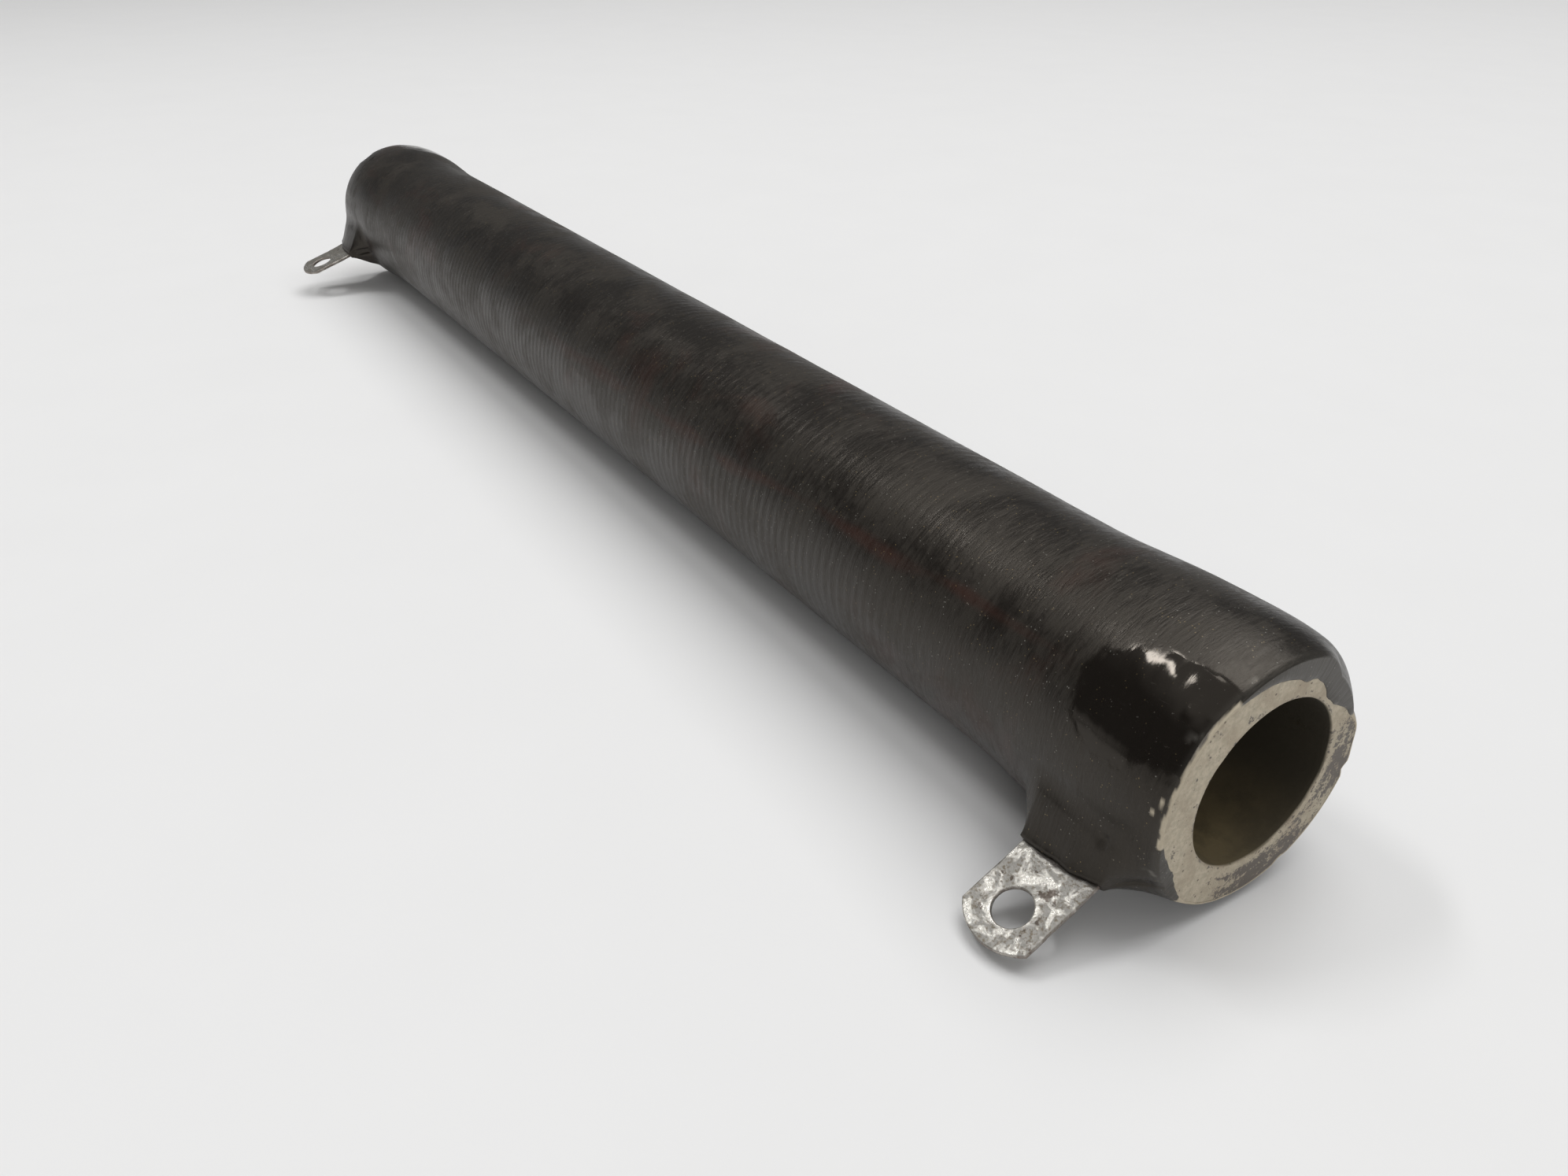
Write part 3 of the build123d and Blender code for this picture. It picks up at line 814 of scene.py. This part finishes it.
def build_lug(end_name, settings):
    """A punched, solder-dipped sheet: two uneven faces meeting in soft edges round tip and hole."""
    lug = LUGS[end_name]
    along = Vector((1, 0, 0))
    count, rings = 300, 46
    half = lug["thickness"] / 2
    soft = SHEET_ROUNDING
    directions = np.linspace(0, 2 * math.pi, count, endpoint=False)
    outline = np.array([lug_outline(lug, settings, d) for d in directions])
    edge_points = np.stack([outline, directions * 3 * MM, 0 * directions], 1)
    outline = outline - 0.03 * MM * (1 + lumps(edge_points, 0.8 * MM, 71))
    hole_points = np.stack([np.cos(directions), np.sin(directions), 0 * directions], 1)
    burr = lug["hole_radius"] * (1 + 0.008 * lumps(hole_points, 0.3, 72))

    flat_steps = np.linspace(0, 1, rings)[1:-1]
    inward = [(d, 1 - (soft - math.sqrt(max(soft ** 2 - (soft - d) ** 2, 0))) / half) for d in
              (0.0, soft * 0.15, soft * 0.4, soft * 0.7, soft)]

    def ring(distance, lift):
        """Points at one distance from the hole, lifted from the sheet's middle by a share of its half."""
        px = distance * np.cos(directions)
        py = distance * np.sin(directions)
        spot = np.stack([px, py, np.full(count, np.sign(lift) * 4 * MM)], 1)
        coat = settings.solder_lumps * (0.7 * lumps(spot, 1.6 * MM, 73, 3) + 0.3 * lumps(spot, 0.45 * MM, 74))
        bend = 0.10 * MM * np.sin(py / (9 * MM) * math.pi) + 0.07 * MM * lumps(spot * (1, 1, 0), 7 * MM, 75)
        height = lift * half + np.sign(lift) * np.abs(lift) * coat + bend
        base = np.array(along)[None] * px[:, None] + np.array(lug["out"])[None] * py[:, None]
        middle = np.array(along) * lug["middle"] + np.array(lug["out"]) * lug["hole_reach"]
        return middle[None] + base + np.array(lug["up"])[None] * height[:, None]

    rows, edge_marks = [], []
    for face in (1, -1):
        stack = [(burr + d, face * lift, 1 - d / soft) for d, lift in inward]
        span_start, span_end = burr + soft, outline - soft
        stack += [(span_start + (span_end - span_start) * t, face * 1.0, 0.0) for t in flat_steps]
        stack += [(outline - d, face * lift, 1 - d / soft) for d, lift in inward[::-1]]
        stack = stack if face > 0 else stack[::-1]
        for distance, lift, mark in stack:
            rows.append(ring(distance, lift))
            edge_marks.append(mark)
    vertices = np.concatenate(rows)
    faces = loft_faces(len(rows), count, True)
    if lug["up"].dot(along.cross(lug["out"])) > 0:
        faces = [tuple(reversed(f)) for f in faces]
    piece = mesh_object(f"{end_name}_dipped_lug", vertices, faces)

    reach = vertices @ np.array(lug["out"])
    fine = lumps(vertices, 0.9 * MM, 77, 3)
    line = 19.9 * MM - 2.0 * MM * ((vertices[:, 0] - lug["middle"]) / lug["width"]) ** 2
    line = line - lug["side"] * 1.1 * MM * (vertices[:, 0] - lug["middle"]) / lug["width"]
    stain = ease((line + 0.30 * MM * fine - reach) / (0.35 * MM))
    paint(piece, "stain", stain)
    paint(piece, "edge", np.repeat(edge_marks, count) * (0.6 + 0.5 * fine))
    return piece


# ---- operators ----------------------------------------------------------------------
class ResistorOperator:
    """Shared ending of every operator that adds pieces."""

    bl_options = {"REGISTER", "UNDO"}

    def place(self, piece, material, node, slot):
        piece.data.materials.clear()
        piece.data.materials.append(material)
        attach(piece, "root")
        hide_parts(node)


class RESISTOR_OT_enamel(ResistorOperator, bpy.types.Operator):
    """Build the enamel skin over the winding, bands and lug feet"""

    bl_idname = "resistor.enamel"
    bl_label = "Enamel skin"

    def execute(self, context):
        settings = context.scene.resistor_enamel
        self.place(build_enamel(settings), enamel_material(settings), "enamel_coat", "vitreous_enamel")
        return {"FINISHED"}


class RESISTOR_OT_ceramic(ResistorOperator, bpy.types.Operator):
    """Build the bare ceramic tube"""

    bl_idname = "resistor.ceramic"
    bl_label = "Ceramic tube"

    def execute(self, context):
        piece = build_ceramic(context.scene.resistor_enamel)
        self.place(piece, ceramic_material(context.scene.resistor_ceramic), "ceramic_core", "bare_ceramic")
        return {"FINISHED"}


class RESISTOR_OT_lugs(ResistorOperator, bpy.types.Operator):
    """Build the two solder-dipped lugs"""

    bl_idname = "resistor.lugs"
    bl_label = "Solder lugs"

    def execute(self, context):
        settings = context.scene.resistor_lugs
        material = solder_material(settings)
        for end_name in ENDS:
            self.place(build_lug(end_name, settings), material, f"{end_name}_solder_lug", "tinned_lug")
        return {"FINISHED"}


class RESISTOR_OT_inner_metal(bpy.types.Operator):
    """Give the winding, bands and brazes under the enamel their metals"""

    bl_idname = "resistor.inner_metal"
    bl_label = "Inner metal"
    bl_options = {"REGISTER", "UNDO"}

    def execute(self, context):
        ribbon = drawn_metal("rolled_ribbon", (0.40, 0.38, 0.36), (0.16, 0.13, 0.10), (300, 6000, 6000))
        strap = drawn_metal("strap_steel", (0.52, 0.51, 0.49), (0.20, 0.16, 0.12), (6000, 400, 400))
        braze = drawn_metal("braze_bead", (0.60, 0.47, 0.24), (0.22, 0.15, 0.08), (1500, 1500, 1500))
        metals = {"resistance_winding": ribbon}
        for end_name in ENDS:
            metals[f"{end_name}_terminal_band"] = strap
            metals[f"{end_name}_wire_braze"] = braze
        for node, material in metals.items():
            mesh = frame["nodes"][node].data
            mesh.materials.clear()
            mesh.materials.append(material)
        return {"FINISHED"}


class RESISTOR_OT_stage(bpy.types.Operator):
    """Add the camera, the pale floor and the soft light"""

    bl_idname = "resistor.stage"
    bl_label = "Stage"
    bl_options = {"REGISTER", "UNDO"}

    def execute(self, context):
        settings = context.scene.resistor_stage
        add_camera(context, settings)
        add_floor(settings)
        add_lights(context)
        context.scene.view_settings.view_transform = "Standard"
        return {"FINISHED"}


def add_camera(context, settings):
    """A level camera that looks at the target from its azimuth and elevation."""
    back = Vector((
        math.cos(settings.elevation) * math.cos(settings.azimuth),
        math.cos(settings.elevation) * math.sin(settings.azimuth),
        math.sin(settings.elevation),
    ))
    data = bpy.data.cameras.new("view_camera")
    data.lens = settings.lens
    data.sensor_width = 36.0
    data.clip_start = 0.005
    data.clip_end = 50.0
    camera = bpy.data.objects.new("view_camera", data)
    camera.location = Vector(settings.target) + back * settings.distance
    camera.rotation_euler = (-back).to_track_quat("-Z", "Y").to_euler()
    context.scene.collection.objects.link(camera)
    context.scene.camera = camera


def add_floor(settings):
    """A wide pale sheet under the swollen ends."""
    half = 4.0
    level = ENAMEL_LOW.z
    corners = [(-half, -half, level), (half, -half, level), (half, half, level), (-half, half, level)]
    floor = mesh_object("floor", corners, [(0, 1, 2, 3)], smooth=False)
    material = bpy.data.materials.new("pale_card")
    n = Nodes(material)
    place = n.add("ShaderNodeTexCoord").outputs["Object"]
    tone = n.noise(place, 45.0, 4.0)
    shade = tuple(settings.floor)
    colour = n.mix(tone, shade_of(shade, 0.985), shade_of(shade, 1.015))
    n.surface(Base_Color=colour, Roughness=0.9, Normal=n.bump(n.noise(place, 2500.0, 3.0), 0.00002, 0.3))
    floor.data.materials.append(material)


def add_lights(context):
    """A dim room, a large lamp overhead and behind, a small high one to the left and a fill in front."""
    world = bpy.data.worlds.new("studio")
    context.scene.world = world
    n = Nodes(world)
    way = n.add("ShaderNodeTexCoord").outputs["Generated"]
    parts = n.add("ShaderNodeSeparateXYZ", Vector=way)
    above = n.ramp(parts.outputs["Z"], 0.60, 0.90, 0.14, 0.60)
    low_sky = n.ramp(parts.outputs["Z"], 0.03, 0.16, 0.6, 0.0)
    skyline = n.math("MULTIPLY", low_sky, n.ramp(parts.outputs["X"], -0.2, -0.6))
    level = n.math("MAXIMUM", above, skyline)
    seen = n.add("ShaderNodeLightPath").outputs["Is Camera Ray"]
    level = n.math("MAXIMUM", level, n.math("MULTIPLY", seen, 0.80))
    background = n.add("ShaderNodeBackground")
    background.inputs["Color"].default_value = (1.0, 0.995, 0.985, 1)
    n.put(background.inputs["Strength"], level)
    output = n.add("ShaderNodeOutputWorld")
    n.tree.links.new(background.outputs[0], output.inputs["Surface"])

    lamps = (
        ("back_lamp", (0.06, 0.62, 1.78), 1.6, 1.6, 22.0),
        ("high_lamp", (-0.36, -0.30, 0.93), 0.36, 0.10, 1.9),
        ("front_fill", (1.10, -0.60, 0.60), 0.7, 0.7, 3.6),
    )
    for name, place, wide, deep, power in lamps:
        data = bpy.data.lights.new(name, "AREA")
        data.shape = "RECTANGLE"
        data.size = wide
        data.size_y = deep
        data.energy = power
        lamp = bpy.data.objects.new(name, data)
        lamp.location = place
        lamp.rotation_euler = (-Vector(place)).to_track_quat("-Z", "Y").to_euler()
        context.scene.collection.objects.link(lamp)


class RESISTOR_PT_panel(bpy.types.Panel):
    """Sidebar panel that lists the pieces"""

    bl_label = "Tube Resistor"
    bl_idname = "RESISTOR_PT_panel"
    bl_space_type = "VIEW_3D"
    bl_region_type = "UI"
    bl_category = "Resistor"

    def draw(self, context):
        column = self.layout.column(align=True)
        for operator in (RESISTOR_OT_ceramic, RESISTOR_OT_enamel, RESISTOR_OT_lugs,
                         RESISTOR_OT_inner_metal, RESISTOR_OT_stage):
            column.operator(operator.bl_idname)
        for group in (context.scene.resistor_enamel, context.scene.resistor_ceramic,
                      context.scene.resistor_lugs, context.scene.resistor_stage):
            for name in group.__annotations__:
                column.prop(group, name)


CLASSES = (
    EnamelSettings, CeramicSettings, LugSettings, StageSettings, RESISTOR_OT_ceramic,
    RESISTOR_OT_enamel, RESISTOR_OT_lugs, RESISTOR_OT_inner_metal, RESISTOR_OT_stage, RESISTOR_PT_panel,
)
POINTERS = {
    "resistor_enamel": EnamelSettings,
    "resistor_ceramic": CeramicSettings,
    "resistor_lugs": LugSettings,
    "resistor_stage": StageSettings,
}


def register():
    for cls in CLASSES:
        bpy.utils.register_class(cls)
    for name, cls in POINTERS.items():
        setattr(bpy.types.Scene, name, bpy.props.PointerProperty(type=cls))


def unregister():
    for name in POINTERS:
        delattr(bpy.types.Scene, name)
    for cls in reversed(CLASSES):
        bpy.utils.unregister_class(cls)


def main():
    register()
    bpy.ops.resistor.ceramic()
    bpy.ops.resistor.enamel()
    bpy.ops.resistor.lugs()
    bpy.ops.resistor.inner_metal()
    bpy.ops.resistor.stage()


if __name__ == "__main__":
    main()
